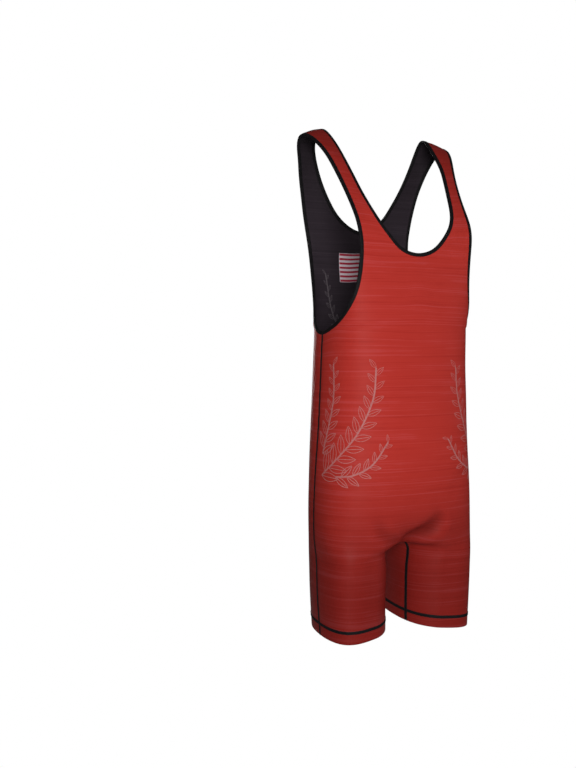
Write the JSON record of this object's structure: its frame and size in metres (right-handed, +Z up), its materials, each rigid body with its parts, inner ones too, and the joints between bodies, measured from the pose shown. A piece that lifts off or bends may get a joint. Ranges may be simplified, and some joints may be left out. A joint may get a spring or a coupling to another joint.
{
  "type": "wrestling singlet",
  "caption": "Sleeveless one-piece wrestling singlet: low scooped neck, deep armholes, narrow shoulder straps, short close legs, bound edges, one colour outside and another inside.",
  "frame": {"origin": "midway between the tops of the two shoulder straps, at the height of the shoulders", "axes": "+Z up; the wearer faces -Y; +X to the wearer's left"},
  "size_m": [0.2998, 0.2041, 0.8733],
  "materials": {
    "cloth": "smooth stretch knit, red outer face and near-black inner face, low sheen",
    "binding": "folded black stretch tape, matt"
  },
  "bodies": {
    "root": {"front_panel": "cloth", "back_panel": "cloth", "neck_binding": "binding", "armhole_binding_left": "binding", "armhole_binding_right": "binding"}
  },
  "joints": []
}
